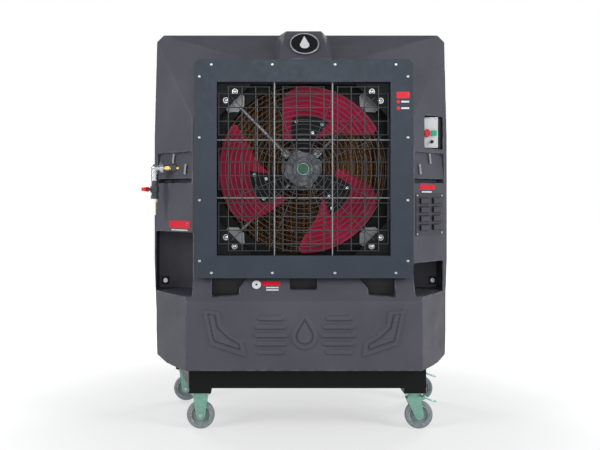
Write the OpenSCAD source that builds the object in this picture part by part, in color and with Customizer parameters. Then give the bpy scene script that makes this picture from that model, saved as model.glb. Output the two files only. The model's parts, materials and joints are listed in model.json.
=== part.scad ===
// Portable evaporative cooler with a 36 inch fan, on four castors.
// X runs to the right as seen from the front, Y to the back and Z up. The floor is z = 0,
// and the fan's axis crosses the vertical through the origin. All sizes are in millimetres.

/* [Housing] */
// Half width of the moulded housing at its widest
body_half = 820; // [815:1:825]
// Height of the housing's flat top
body_top = 2152; // [2148:1:2160]
// Underside of the water tank
tank_bottom = 338; // [338:1:345]
// Height of the ledge on top of the tank, at the side pockets
ledge_z = 725; // [720:1:730]
// Wall thickness of the moulding
wall = 6; // [5:0.5:8]

/* [Air outlet] */
// Height of the fan's axis
fan_z = 1395; // [1390:1:1400]
// Outer side of the square outlet frame
frame_side = 1150; // [1140:2:1160]
// Width of the frame's flat bars
frame_bar = 118; // [110:1:122]
// Spacing of the grille wires
grille_pitch = 72; // [68:1:74]
// Radius of the grille wires
grille_wire_r = 2.5; // [2:0.25:3]

/* [Fan] */
// Tip radius of the fan blades
blade_tip_r = 452; // [440:1:455]
// Radius of the hole in the fan panel
orifice_r = 462; // [460:1:464]
// Pitch of the blades, in degrees
blade_pitch = 8.5; // [6:0.5:9]
// Radius of the motor shaft
shaft_r = 14; // [10:0.5:16]

/* [Castors] */
// Wheel radius
wheel_r = 75; // [70:1:78]
// Wheel width
wheel_w = 38; // [34:1:40]
// Mounting height of the castors
castor_h = 200; // [198:1:205]
// Distance of a swivel castor's axle behind its swivel axis
trail = 30; // [25:1:32]
// Radius of the wheel axles
axle_r = 6; // [5:0.5:8]

/* [Cooling pads] */
// Thickness of the corrugated pads
pad_t = 150; // [100:5:150]
// Height of the pads
pad_h = 1480; // [1400:5:1480]

/* [Hidden] */
$fn = 48;
front_y = -430;          // front face of the tank
frame_y = -400;          // front face of the outlet frame
face_y = -355;           // flat front of the housing, which carries the frame
rim_y = -115;            // where the sloping facets meet the straight sides
back_y = 430;
face_half = 590;         // half width of the flat front
corner_half = 618;       // half width of the tank's front face
band_z = 700;            // top edge of the tank's front face
band_top = 819.5;        // top edge of the sloping band above it
frame_top = 1970.5;      // just above the outlet frame
hump_foot = [-391, 1974.5];  // lower and upper edge of the hump's front, in Y and Z
hump_brow = [-272, 2143];
cover_x = -18;           // middle of the louvre cover, along its facet
duct_half = 465;         // half side of the square air duct
panel_y = -233;          // front face of the fan panel
base_x = 24;             // middle of the castor pattern
front_castor = [572, -285];  // half spacing in X, and place in Y
rear_castor = [702, 310];
facet_mid = [705, -235];     // middle of a side facet, in plan
facet_turn = atan2(rim_y - face_y, body_half - face_half);
grip_slope = 18 / 141;   // lean of the grip recess's face
plate_gap = 0.3;         // clearance between pieces that only lie beside each other
run_gap = 0.05;          // radial clearance of a running fit
valve = [-803, -240];    // inlet valve's vertical axis, in plan
inlet_z = 1404;          // height of the water inlet
float_pivot = [-560, 120, 640];
deck_y = -192;           // front of the control plate
pad_y = 215;             // front of the cooling pads
pad_z = 520;             // foot of the cooling pads
pad_w = 486;             // width of one of the three pads

// ---------------------------------------------------------------- helpers

// Extrudes an outline drawn in X and Z from y0 to y1.
module xz(y0, y1) {
  translate([0, y1, 0]) rotate([90, 0, 0]) linear_extrude(y1 - y0) children();
}

// Extrudes an outline drawn in Y and Z from x0 to x1.
module yz(x0, x1) {
  translate([x0, 0, 0]) rotate([90, 0, 90]) linear_extrude(x1 - x0) children();
}

// A box from one corner to the opposite one.
module block(low, high) {
  translate(low) cube(high - low);
}

// Places children in the frame of a side facet: x along the facet, away from the
// outlet, and -y straight out of it. side is 1 on the right and -1 on the left.
module on_facet(side) {
  mirror([side < 0 ? 1 : 0, 0, 0])
    translate([facet_mid[0], facet_mid[1], 0]) rotate([0, 0, facet_turn]) children();
}

// Places children at the drain, on the sloping band above the tank's front face.
module on_band() {
  z = 781;
  rise = (z - band_z) / (band_top - band_z);
  lean = atan2(face_y - front_y, band_top - band_z);
  translate([-248, front_y + (face_y - front_y) * rise, z]) rotate([90 - lean, 0, 0]) children();
}

// Places children in the fan's frame: +z is the air's direction, out of the front.
module fan_frame() {
  translate([0, 0, fan_z]) rotate([90, 0, 0]) children();
}

module rod_y(x, z, r, y0, y1) {
  translate([x, y1, z]) rotate([90, 0, 0]) cylinder(h = y1 - y0, r = r);
}

module rod_x(y, z, r, x0, x1) {
  translate([x0, y, z]) rotate([0, 90, 0]) cylinder(h = x1 - x0, r = r);
}

module pipe_z(x, y, z0, z1, outer, inner) {
  translate([x, y, z0]) difference() {
    cylinder(h = z1 - z0, r = outer);
    translate([0, 0, -1]) cylinder(h = z1 - z0 + 2, r = inner);
  }
}

module hex(h, across) {
  cylinder(h = h, r = across / sqrt(3), $fn = 6);
}

// A right half outline and its mirror image, as one closed outline.
function both_halves(half) =
  concat(half, [for (i = [len(half) - 1:-1:0]) [-half[i][0], half[i][1]]]);

// Moves the points of a right half outline inwards by t.
function shrink(half, t) = [for (p = half) [p[0] - t, p[1] + (p[1] < fan_z ? t : -t)]];

// ---------------------------------------------------------------- housing

function rim_half() = [
  [660, tank_bottom], [735, tank_bottom + 6], [799, 372], [812, 670],
  [body_half, 900], [body_half - 1, 1600], [body_half - 14, body_top - 38],
  [body_half - 52, body_top],
];
function rim_upper_half() = [
  [814, ledge_z], [body_half, 900], [body_half - 1, 1600], [body_half - 14, body_top - 38],
  [body_half - 52, body_top],
];
function face_outline_half() = [[face_half, ledge_z], [face_half, 1656], [271, 1976]];

// The moulding's outer form, or with t its inner form.
module body_form(t) {
  xz(rim_y, back_y - t) polygon(both_halves(shrink(rim_half(), t)));
  hull() {
    xz(rim_y, rim_y + 1) polygon(both_halves(shrink(rim_upper_half(), t)));
    xz(face_y + t, face_y + t + 1) polygon(both_halves(shrink(face_outline_half(), t)));
  }
  intersection() {
    tank_form(t);
    xz(front_y - 1, rim_y + 20) polygon(both_halves(shrink(rim_half(), t)));
  }
}

module tank_form(t) {
  plan_half = [[805, rim_y + 10], [805, -150], [corner_half, front_y]];
  inset = [for (p = plan_half) [p[0] - t, p[1] + t]];
  difference() {
    translate([0, 0, tank_bottom + t])
      linear_extrude(ledge_z - tank_bottom - 2 * t) polygon(both_halves(inset));
    yz(-900, 900) polygon([
      [front_y - 1 + t, band_z - t], [front_y + t, band_z - t],
      [front_y + 16 + t, ledge_z], [front_y - 1 + t, ledge_z],
    ]);
  }
  yz(t - face_half, face_half - t) polygon([
    [rim_y + 5, 500], [front_y + 60, 500], [front_y + t, band_z - t],
    [face_y + t, band_top - t], [face_y + t, 1000], [rim_y + 5, 1000],
  ]);
}

module hump() {
  hull() {
    xz(hump_foot[0], face_y + 1) polygon([
      [-132, frame_top], [148, frame_top], [147, hump_foot[1]], [-131, hump_foot[1]],
    ]);
    xz(hump_brow[0], -116)
      polygon([[-97, 2110], [113, 2110], [103, hump_brow[1]], [-87, hump_brow[1]]]);
    xz(-116, 40) polygon([[-135, 2140], [151, 2140], [92, 2174], [-76, 2174]]);
    xz(110, 111) polygon([[-120, 2130], [136, 2130], [80, 2146], [-64, 2146]]);
  }
}

// The lower side pockets, with t more on every side.
module pocket(side, t) {
  top = side < 0 ? 1057 : 892;
  outer = side < 0 ? 808 : 788;
  x0 = face_half - 4 - t;
  x1 = t > 0 ? 840 : outer;
  low = side < 0 ? -x1 : x0;
  block([low, front_y - 20, ledge_z - t], [low + x1 - x0, t, top + t]);
}

// The grip recess in each side facet: a sloping face over a finger slot.
module grip_cut(t) {
  yz(-160 - t, 138 + t) polygon([
    [-60, 1490 + t], [26 + t, 1486 + t], [8 + t, 1345 + t], [50 + t, 1345 + t],
    [50 + t, 1325 - t], [-60, 1320 - t],
  ]);
}

// Depth of the recess's sloping face behind the facet, at a height.
function grip_depth(z) = 8 + (z - 1345) * grip_slope;

module control_cut(t) {
  block([660 - t, -330, 1511 - t], [788 + t, -110 + t, 1691 + t]);
}

// The three dark notches under the outlet frame.
module notches(t) {
  for (side = [-1, 1]) mirror([side < 0 ? 1 : 0, 0, 0])
    xz(-450, -310 + t) polygon([
      [340 - t, 732 - t], [482 + t, 722 - t], [482 + t, 835 + t], [286 - t, 835 + t],
      [340 - t, 765 - t],
    ]);
  block([-72 - t, -450, 758 - t], [72 + t, -310 + t, 835 + t]);
}

// Raised mouldings on the tank's front face.
module swoosh() {
  xz(front_y - 8, front_y + 3) difference() {
    polygon([
      [-525, 658], [-442, 648], [-430, 578], [-385, 530], [-318, 494], [-306, 416],
      [-486, 476],
    ]);
    polygon([
      [-506, 641], [-459, 635], [-446, 571], [-396, 518], [-334, 483], [-325, 441],
      [-474, 490],
    ]);
  }
  xz(front_y - 8, front_y + 3) polygon([
    [-494, 629], [-471, 626], [-458, 564], [-403, 508], [-345, 474], [-341, 458],
    [-466, 500],
  ]);
}

// A drop of water between two groups of level ribs.
module drop_relief() {
  xz(front_y - 8, front_y + 3) translate([3, 520]) {
    difference() {
      drop(64);
      drop(50);
    }
    drop(36);
    for (side = [-1, 1], row = [-2:2])
      translate([side * (100 + 6 * row * row), 8 + 44 * row]) mirror([side < 0 ? 1 : 0, 0])
        rib(150 - 10 * row * row, 11);
  }
}

// A drop's outline: a circle under the two tangents from a point 2 r above its centre.
module drop(r) {
  circle(r);
  polygon([[-r * sqrt(3) / 2, r / 2], [r * sqrt(3) / 2, r / 2], [0, r * 2]]);
}

module rib(length, r) {
  translate([0, -r]) square([length, 2 * r]);
  circle(r);
  translate([length, 0]) circle(r);
}

module housing() {
  color([0.33, 0.33, 0.36]) difference() {
    union() {
      body_form(0);
      block([-565, face_y, 830], [565, -200, 1960]);
      hump();
      mirror([1, 0, 0]) swoosh();
      swoosh();
      drop_relief();
    }
    difference() {
      union() {
        body_form(wall);
        block([-559, face_y + wall, 836], [559, -190, 1954]);
      }
      pocket(-1, wall);
      pocket(1, wall);
      for (side = [-1, 1]) on_facet(side) grip_cut(wall);
      control_cut(wall);
      notches(wall);
      xz(face_y - 10, panel_y) translate([0, fan_z]) square(2 * duct_half + 12, center = true);
    }
    pocket(-1, 0);
    pocket(1, 0);
    for (side = [-1, 1]) on_facet(side) grip_cut(0);
    control_cut(0);
    notches(0);
    xz(face_y - 60, panel_y) translate([0, fan_z]) square(2 * duct_half, center = true);
    on_facet(1) translate([cover_x, 0, 0]) block([-112, -30, 1062], [112, 40, 1242]);
    block([-745, back_y - 40, 505], [745, back_y + 10, 2012]);
    rod_x(valve[1] + 5, inlet_z, 11.3, -760, -660);
    on_band() cylinder(h = 60, r = 15.3, center = true);
    rod_x(150, 620, 10.3, 780, 830);
  }
}

// ---------------------------------------------------------------- base

module base_frame() {
  rail = 50;
  front_half = front_castor[0] + 60;
  rear_half = rear_castor[0] + 68;
  front_edge = -340;
  rear_edge = 370;
  color([0.06, 0.07, 0.07]) translate([base_x, 0, 0]) difference() {
    union() {
      block([-front_half, front_edge, 228], [front_half, front_edge + rail, 278]);
      block([-rear_half, rear_edge - rail, 228], [rear_half, rear_edge, 278]);
      for (side = [-1, 1]) {
        translate([0, 0, 228]) linear_extrude(rail) polygon([
          [side * front_half, front_edge], [side * rear_half, rear_edge],
          [side * (rear_half - rail), rear_edge], [side * (front_half - rail), front_edge],
        ]);
        translate([0, 0, 270]) linear_extrude(tank_bottom - 270) polygon([
          [side * front_half, front_edge], [side * rear_half, rear_edge],
          [side * (rear_half - 6), rear_edge], [side * (front_half - 6), front_edge],
        ]);
        block([side * 250 - 20, front_edge + 5, 238], [side * 250 + 20, rear_edge - 5, 278]);
        block([side * 250 - 20, front_edge + 5, 270], [side * 250 + 20, rear_edge - 5, tank_bottom]);
        translate([side * front_castor[0], front_castor[1], 0])
          block([-58, -55, castor_h], [58, 55, 230]);
        translate([side * rear_castor[0], rear_castor[1], 0])
          block([-58, -55, castor_h], [58, 55, 230]);
      }
      block([-front_half, front_edge, 270], [front_half, front_edge + 6, tank_bottom]);
      block([-rear_half, rear_edge - 6, 270], [rear_half, rear_edge, tank_bottom]);
    }
    for (side = [-1, 1], spot = [front_castor, rear_castor], dx = [-1, 1], dy = [-1, 1])
      translate([side * spot[0] + 40 * dx, spot[1] + 32 * dy, castor_h - 5])
        cylinder(h = 30, r = 5.3);
  }
}

// ---------------------------------------------------------------- air outlet

// One mitred side of the outlet frame, below the opening, centred on the axis.
module frame_side_bar() {
  half = frame_side / 2;
  inner = half - frame_bar;
  cut = 22;
  depth = face_y - frame_y - plate_gap;
  difference() {
    intersection() {
      union() {
        translate([-half, -half, 0]) cube([2 * half, frame_bar, 3]);
        translate([-half, -half, -depth + 3]) cube([2 * half, 3, depth]);
        translate([-inner, -inner - 3, -27]) cube([2 * inner, 3, 29]);
      }
      translate([0, 0, -depth - 5]) linear_extrude(depth + 20) polygon([
        [0.2 - half + cut, -half], [half - cut - 0.2, -half], [half - 0.2 - cut / 2, -half + cut / 2],
        [0, -0.3], [cut / 2 - half + 0.2, -half + cut / 2],
      ]);
    }
    for (x = [-485, -165, 165, 485])
      translate([x, -half + 27, -20]) cylinder(h = 40, r = 3.3);
  }
}

module outlet_frame() {
  color([0.27, 0.31, 0.35]) translate([0, frame_y + 3, fan_z]) rotate([90, 0, 0])
    for (k = [0:3]) rotate([0, 0, 90 * k]) frame_side_bar();
}

module screw(head_r, length) {
  cylinder(h = 3.5, r1 = head_r, r2 = head_r * 0.55);
  translate([0, 0, -length]) cylinder(h = length + 0.5, r = 3);
}

module panel_screws() {
  color([0.75, 0.77, 0.78]) {
    translate([0, frame_y, fan_z]) rotate([90, 0, 0]) for (k = [0:3]) rotate([0, 0, 90 * k])
      for (x = [-485, -165, 165, 485])
        translate([x, 27 - frame_side / 2, 0]) screw(8, 50);
    on_facet(1) for (x = [-124, 124], z = [1049, 1255])
      translate([cover_x + x, -4, z]) rotate([90, 0, 0]) screw(6, 20);
    for (x = [674, 743], z = [1526, 1676])
      translate([x, deck_y, z]) rotate([90, 0, 0]) screw(4.5, 20);
  }
}

module front_grille() {
  end_x = 447;
  end_z = 433;
  r = grille_wire_r;
  reach = frame_side / 2 - frame_bar - 0.2;
  color([0.42, 0.45, 0.48]) translate([0, -378, fan_z]) rotate([90, 0, 0]) {
    for (i = [-6:5]) {
      translate([(i + 0.5) * grille_pitch, -end_z - r, 0]) rotate([-90, 0, 0])
        cylinder(h = 2 * (end_z + r), r = r, $fn = 16);
      translate([-end_x - r, (i + 0.5) * grille_pitch, -1.9 * r]) rotate([0, 90, 0])
        cylinder(h = 2 * (end_x + r), r = r, $fn = 16);
    }
    for (side = [-1, 1]) {
      translate([side * 153, -reach, 0]) rotate([-90, 0, 0])
        cylinder(h = 2 * reach, r = 4, $fn = 16);
      translate([-reach, side * 153, -6]) rotate([0, 90, 0])
        cylinder(h = 2 * reach, r = 4, $fn = 16);
      for (third = [-1:1]) {
        translate([side * end_x, third * 288 - 112, 0]) rotate([-90, 0, 0])
          cylinder(h = 224, r = r, $fn = 16);
        translate([third * 288 - 112, side * end_z, -1.9 * r]) rotate([0, 90, 0])
          cylinder(h = 224, r = r, $fn = 16);
      }
    }
  }
}

module fan_guard() {
  color([0.2, 0.21, 0.22]) fan_frame() {
    for (i = [0:15]) translate([0, 0, 364]) rotate_extrude($fn = 64)
      translate([62 + 25 * i, 0]) circle(1.8, $fn = 8);
    for (k = [0:7]) rotate([0, 0, 22.5 + 45 * k]) translate([56, 0, 360.4]) rotate([0, 90, 0])
      cylinder(h = 388, r = 2.2, $fn = 16);
    for (k = [0:3]) rotate([0, 0, 45 + 90 * k]) translate([56, 0, 360.4]) rotate([0, 90, 0])
      cylinder(h = 480, r = 2.2, $fn = 16);
  }
}

module corner_plates() {
  a = duct_half + 30;
  color([0.09, 0.1, 0.1]) fan_frame() for (k = [0:3]) rotate([0, 0, 90 * k])
    translate([0, 0, plate_gap - face_y]) difference() {
      linear_extrude(2.6) polygon([[a, 232], [a, a], [232, a]]);
      for (p = [[364, 410], [410, 362]])
        translate([p[0], p[1], -1]) cylinder(h = 8, r = 6.3);
    }
}

module corner_bolts() {
  color([0.8, 0.82, 0.83]) fan_frame() for (k = [0:3]) rotate([0, 0, 90 * k])
    for (p = [[364, 410], [410, 362]]) translate([p[0], p[1], 358.2]) {
      cylinder(h = 3, r = 15);
      translate([0, 0, 2.9]) rotate_extrude() intersection() {
        translate([0, -7]) circle(14);
        square([13, 8]);
      }
      translate([0, 0, -28]) cylinder(h = 29, r = 6);
    }
}

module fan_panel() {
  half = duct_half + 14;
  color([0.12, 0.13, 0.13]) fan_frame() difference() {
    union() {
      translate([-half, -half, -panel_y - 3]) cube([2 * half, 2 * half, 3]);
      translate([0, 0, -panel_y - 60]) cylinder(h = 60, r = orifice_r + 3, $fn = 96);
    }
    translate([0, 0, -panel_y - 70]) cylinder(h = 90, r = orifice_r, $fn = 96);
  }
}

module strut_feet() {
  color([0.62, 0.65, 0.67]) fan_frame() for (k = [0:3]) rotate([0, 0, 45 + 90 * k])
    translate([0, 0, -panel_y + plate_gap]) difference() {
      linear_extrude(5) polygon([[468, -22], [505, -62], [590, -62], [590, 62], [505, 62], [468, 22]]);
      translate([540, 0, -1]) cylinder(h = 8, r = 6.3);
    }
}

module motor_struts() {
  color([0.55, 0.58, 0.6]) fan_frame() for (k = [0:3]) rotate([0, 0, 45 + 90 * k])
    motor_strut();
}

// A round bar with flattened ends, from a strut foot to the motor mount.
module motor_strut() {
  rise = 34;
  run = 360;
  translate([124, 0, 214.3]) rotate([0, 90 - atan2(rise, run), 0])
    cylinder(h = norm([rise, run]), r = 8);
  translate([470, -14, 238.6]) cube([92, 28, 6]);
  translate([104, -16, 206]) cube([40, 32, 6]);
}

module motor_mount() {
  color([0.7, 0.72, 0.74]) fan_frame() difference() {
    union() {
      translate([0, 0, 198]) cylinder(h = 7.7, r = 112);
      for (k = [0:3]) rotate([0, 0, 45 + 90 * k])
        translate([60, -26, 198]) cube([88, 52, 7.7]);
    }
    translate([0, 0, 190]) cylinder(h = 20, r = 60);
  }
}

module motor() {
  color([0.3, 0.33, 0.35]) fan_frame() difference() {
    union() {
      translate([0, 0, 30]) cylinder(h = 150, r = 98);
      translate([0, 0, 175]) cylinder(h = 22.7, r = 84);
      translate([0, 0, 190]) cylinder(h = 30, r = 46);
      translate([0, 0, 8]) cylinder(h = 30, r = 86);
      for (k = [0:23]) rotate([0, 0, 15 * k]) translate([90, -2, 42]) cube([18, 4, 126]);
      translate([-45, 90, 70]) cube([90, 52, 80]);
    }
    translate([0, 0, 60]) cylinder(h = 190, r = shaft_r + run_gap);
  }
}

// ---------------------------------------------------------------- fan rotor

module rotor_hub() {
  color([0.55, 0.57, 0.58]) fan_frame() difference() {
    union() {
      translate([0, 0, 300]) cylinder(h = 30, r = 92);
      translate([0, 0, 262]) cylinder(h = 60, r = 44);
      for (k = [0:3]) rotate([0, 0, 90 * k + 20]) translate([78, 0, 300]) cylinder(h = 36, r = 27);
      translate([0, 0, 325]) cylinder(h = 16, r = 52);
    }
    translate([0, 0, 250]) cylinder(h = 84, r = shaft_r + run_gap);
  }
}

module hub_cap() {
  color([0.1, 0.5, 0.25]) fan_frame() union() {
    translate([0, 0, 341]) cylinder(h = 5, r = 33);
    translate([0, 0, 345]) cylinder(h = 5, r = 28);
  }
}

module motor_shaft() {
  color([0.7, 0.7, 0.72]) fan_frame() translate([0, 0, 70]) cylinder(h = 263, r = shaft_r);
}

// Points at a radius, going from one angle to another.
function arc(r, from, to, steps) =
  [for (i = [0:steps]) let (a = from + (to - from) * i / steps) [r * cos(a), r * sin(a)]];
function polar(r, a) = [r * cos(a), r * sin(a)];

function blade_outline() = concat(
  arc(blade_tip_r, -51, 10, 9),
  [polar(438, 18), polar(405, 25), polar(323, 30), polar(240, 36.5), polar(190, 42)],
  arc(178, 34, -14, 3),
  [polar(233, -28), polar(320, -45), polar(380, -51), polar(432, -54)]
);
function leaf_outline() = concat(
  arc(108, -14, 22, 4),
  [polar(150, 28), polar(215, 26), polar(283, 21), polar(288, 8), polar(292, -6)],
  [polar(288, -19), polar(262, -18), polar(215, -15), polar(170, -14)]
);

// The pitched plane of blade k, with its front face at z = 5.
module blade_plane(k) {
  rotate([0, 0, 80 + 120 * k]) translate([0, 0, 286]) rotate([-blade_pitch, 0, 0]) children();
}

module fan_blades() {
  color([0.62, 0.08, 0.2]) fan_frame() for (k = [0:2]) blade_plane(k) difference() {
    linear_extrude(5) polygon(blade_outline());
    for (p = blade_bolt_spots()) translate([p[0], p[1], -2]) cylinder(h = 9, r = 5.3);
  }
}

function blade_bolt_spots() = [polar(203, -6), polar(262, -14), polar(261, 17)];

module blade_plates() {
  color([0.06, 0.06, 0.07]) fan_frame() for (k = [0:2]) {
    blade_plane(k) translate([0, 0, 5.3]) difference() {
      linear_extrude(6) polygon(leaf_outline());
      for (p = blade_bolt_spots()) translate([p[0], p[1], -2]) cylinder(h = 10, r = 5.3);
    }
    rotate([0, 0, 84 + 120 * k]) translate([62, -24, 291]) cube([62, 48, 8.7]);
  }
}

module blade_bolts() {
  color([0.8, 0.8, 0.82]) fan_frame() for (k = [0:2]) blade_plane(k)
    for (p = blade_bolt_spots()) translate([p[0], p[1], 0]) {
      translate([0, 0, 11.6]) hex(6, 17);
      translate([0, 0, -8]) cylinder(h = 20, r = 5);
      translate([0, 0, -7]) hex(6.7, 17);
    }
}

// ---------------------------------------------------------------- water side

module pad_rack() {
  half = pad_w * 1.5 + 1;
  // The two legs are pieces of their own, which only stand under the channel.
  color([0.66, 0.68, 0.7]) {
    for (top = [0, 1]) pad_channel(top, half);
    for (side = [-1, 1]) {
      x = side * (half + 6);
      block([x - 1.5, pad_y - 6, pad_z - 4], [x + 1.5, pad_y + pad_t + 6, pad_z + pad_h + 4]);
      block([side * 500 - 20, pad_y + 20, tank_bottom + wall + plate_gap],
            [side * 500 + 20, pad_y + 130, pad_z - 4 - plate_gap]);
    }
  }
}

// The channel under the pads, or with top = 1 the one over them. Both let water through.
module pad_channel(top, half) {
  z0 = top == 1 ? pad_z + pad_h - 28 : pad_z - 4;
  translate([0, 0, z0]) difference() {
    block([-half - 3, pad_y - 6, 0], [half + 3, pad_y + pad_t + 6, 32]);
    block([-half, pad_y - 3, top == 1 ? -1 : 3.5], [half, pad_y + pad_t + 3, top == 1 ? 28.5 : 33]);
    for (i = [-7:7]) translate([i * 95, pad_y + pad_t / 2, -1]) cylinder(h = 40, r = 8);
  }
}

module pad(i) {
  color([0.42, 0.27, 0.13])
    block([(i - 0.5) * pad_w + 0.5, pad_y, pad_z], [(i + 0.5) * pad_w - 0.5, pad_y + pad_t, pad_z + pad_h]);
}

module pad_left() { pad(-1); }
module pad_centre() { pad(0); }
module pad_right() { pad(1); }

module pad_guard() {
  y = back_y - 46;
  color([0.6, 0.62, 0.64]) {
    for (x = [-735, 0, 735]) block([x - 15, y - 3, 515], [x + 15, y, 2006]);
    for (i = [0:14]) rod_x(y + 2.4, 560 + 100 * i, 2.5, -748, 748, $fn = 16);
    for (i = [-7:7]) translate([i * 98, y + 7, 520]) cylinder(h = 1480, r = 2.5, $fn = 16);
  }
}

module distribution_pipe() {
  z = pad_z + pad_h + 60;
  y = pad_y + pad_t / 2;
  color([0.88, 0.89, 0.9]) difference() {
    union() {
      rod_x(y, z, 20, -725, 745);
      rod_x(y, z, 24, -731, -700);
    }
    rod_x(y, z, 17, -722, 746);
    for (i = [-11:11]) translate([i * 62, y, z - 25]) cylinder(h = 20, r = 2, $fn = 16);
  }
}

module riser_pipe() {
  z = pad_z + pad_h + 60;
  y = pad_y + pad_t / 2;
  color([0.85, 0.86, 0.87]) {
    pipe_z(770, y, 430, z, 16, 13);
    translate([770, y, z]) sphere(22);
    rod_x(y, z, 16.5, 728, 770);
    translate([770, y, 430]) sphere(22);
    rod_y(770, 430, 16, 110, y);
    translate([770, 110, 430]) sphere(22);
    rod_x(110, 430, 16, 708, 770);
  }
}

module pump() {
  color([0.1, 0.13, 0.2]) {
    block([600, 50, tank_bottom + wall + 4], [700, 170, 390]);
    translate([650, 110, 390]) cylinder(h = 90, r = 44);
    translate([650, 110, 480]) cylinder(h = 12, r = 30);
    rod_x(110, 430, 21, 680, 707);
  }
}

module fill_pipe() {
  color([0.85, 0.86, 0.87]) {
    rod_x(valve[1] + 5, inlet_z, 10, -644, -620);
    translate([-620, valve[1] + 5, inlet_z]) sphere(14);
    rod_y(-620, inlet_z, 10, valve[1] + 5, 120);
    translate([-620, 120, inlet_z]) sphere(14);
    translate([-620, 120, 668]) cylinder(h = inlet_z - 668, r = 10);
  }
}

module float_valve() {
  p = float_pivot;
  color([0.75, 0.6, 0.25]) {
    translate([-620, 120, 640]) cylinder(h = 27.7, r = 20);
    translate([-620, 120, 612]) cylinder(h = 30, r = 15);
    difference() {
      union() {
        for (side = [-1, 1])
          block([-612, p[1] + side * 9 - 2.5, 632], [p[0] + 8, p[1] + side * 9 + 2.5, 650]);
        block([-614, p[1] - 11.5, 632], [-596, p[1] + 11.5, 650]);
      }
      rod_y(p[0], p[2], 3.05, p[1] - 20, p[1] + 20);
    }
    rod_y(p[0], p[2], 3, p[1] - 14, p[1] + 14);
  }
}

// Hangs down and out from its pivot on the float valve, as it does in an empty tank.
module float_arm() {
  p = float_pivot;
  color([0.85, 0.35, 0.15]) translate(p) difference() {
    union() {
      rod_y(0, 0, 8, -5.5, 5.5);
      rotate([0, 55, 0]) translate([6, 0, 0]) rotate([0, 90, 0]) cylinder(h = 160, r = 3);
      rotate([0, 55, 0]) translate([205, 0, 0]) sphere(48);
    }
    rod_y(0, 0, 3.05, -20, 20);
  }
}

module inlet_fitting() {
  y = valve[1] + 5;
  color([0.8, 0.65, 0.3]) {
    translate([-744, y, inlet_z]) rotate([0, 90, 0]) hex(21.5, 30);
    rod_x(y, inlet_z, 11, -761, -644.3);
    translate([-652.5, y, inlet_z]) rotate([0, 90, 0]) cylinder(h = 7, r = 21);
  }
}

module inlet_elbow() {
  y = valve[1] + 5;
  color([0.82, 0.84, 0.86]) {
    difference() {
      rod_x(y, inlet_z, 30, -772, -753);
      rod_x(y, inlet_z, 11.3, -762, -752);
    }
    rod_x(y, inlet_z, 18, -803, -771);
    translate([valve[0], y, inlet_z]) sphere(21);
    translate([valve[0], y, 1334]) cylinder(h = inlet_z - 1334, r = 19);
  }
}

module ball_valve() {
  y = valve[1] + 5;
  color([0.5, 0.55, 0.57]) {
    translate([valve[0], y, 1236]) cylinder(h = 97.7, r = 18);
    translate([valve[0], y, 1270]) hex(36, 42);
    translate([valve[0], y, 1237]) hex(18, 38);
    rod_x(y, 1288, 8, -835, -803);
    rod_x(y, 1288, 5, -845, -830);
  }
}

module valve_handle() {
  y = valve[1] + 5;
  color([0.75, 0.1, 0.12]) difference() {
    union() {
      rod_x(y, 1288, 13, -849, -835.4);
      block([-849, y - 82, 1277], [-842, y, 1299]);
      block([-864, y - 82, 1279], [-842, y - 66, 1297]);
    }
    rod_x(y, 1288, 5 + run_gap, -846, -830);
  }
}

module hose_tail() {
  color([0.88, 0.86, 0.8]) difference() {
    union() {
      translate([valve[0], valve[1] + 5, 1148]) cylinder(h = 70, r = 8);
      translate([valve[0], valve[1] + 5, 1218]) cylinder(h = 17.7, r = 15);
    }
    translate([valve[0], valve[1] + 5, 1140]) cylinder(h = 100, r = 5.5);
  }
}

module drain_cap() {
  color([0.92, 0.92, 0.92]) on_band() {
    difference() {
      translate([0, 0, 0.5]) cylinder(h = 9, r = 23.5);
      translate([0, 0, 6]) cylinder(h = 5, r = 6);
    }
    translate([0, 0, -20]) cylinder(h = 21, r = 15);
  }
}

// ---------------------------------------------------------------- small fittings

module pocket_plates() {
  color([0.04, 0.04, 0.04]) for (x = [-770, 762]) difference() {
    block([x - 22, -4, 746], [x + 22, -0.3, 790]);
    rod_y(x, 768, 8.3, -10, 10);
  }
}

module pocket_bolts() {
  color([0.65, 0.67, 0.68]) {
    for (x = [-770, 762]) {
      rod_y(x, 768, 13, -12, -4.2);
      rod_y(x, 768, 8, -5, -0.5);
    }
    rod_y(602, 872, 6, -6, -0.3);
  }
}

module control_box() {
  color([0.16, 0.17, 0.18]) difference() {
    block([664, deck_y + 3, 1515], [753, -110.3, 1687]);
    block([668, deck_y + 2, 1519], [749, -114, 1683]);
  }
}

module control_plate() {
  color([0.93, 0.94, 0.94]) difference() {
    block([665, deck_y, 1517], [752, deck_y + 2.7, 1685]);
    rod_y(690, 1597, 8.4, deck_y - 5, deck_y + 10);
    rod_y(727, 1597, 8.4, deck_y - 5, deck_y + 10);
    rod_y(718, 1550, 5.4, deck_y - 5, deck_y + 10);
    for (x = [674, 743], z = [1526, 1676]) rod_y(x, z, 3.2, deck_y - 5, deck_y + 10);
  }
}

module stop_button() {
  color([0.85, 0.1, 0.15]) {
    translate([0, -0.5, 0]) xz(deck_y - 20, deck_y - 6) translate([690, 1597]) {
      circle(14.5);
      translate([0, 7.5]) circle(14.5);
      translate([0, -7.5]) circle(14.5);
      square([29, 15], center = true);
    }
    rod_y(690, 1597, 8, deck_y - 8, deck_y + 30);
  }
}

module start_button() {
  color([0.05, 0.55, 0.4]) {
    xz(deck_y - 16, deck_y - 6) translate([727, 1597]) square([30, 29], center = true);
    rod_y(727, 1597, 8, deck_y - 8, deck_y + 30);
  }
}

module pump_switch() {
  color([0.08, 0.08, 0.09]) {
    rod_y(718, 1550, 9, deck_y - 13, deck_y - 0.6);
    block([715.5, deck_y - 19, 1541.5], [720.5, deck_y - 12, 1558.5]);
    rod_y(718, 1550, 5, deck_y - 2, deck_y + 20);
  }
}

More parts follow.
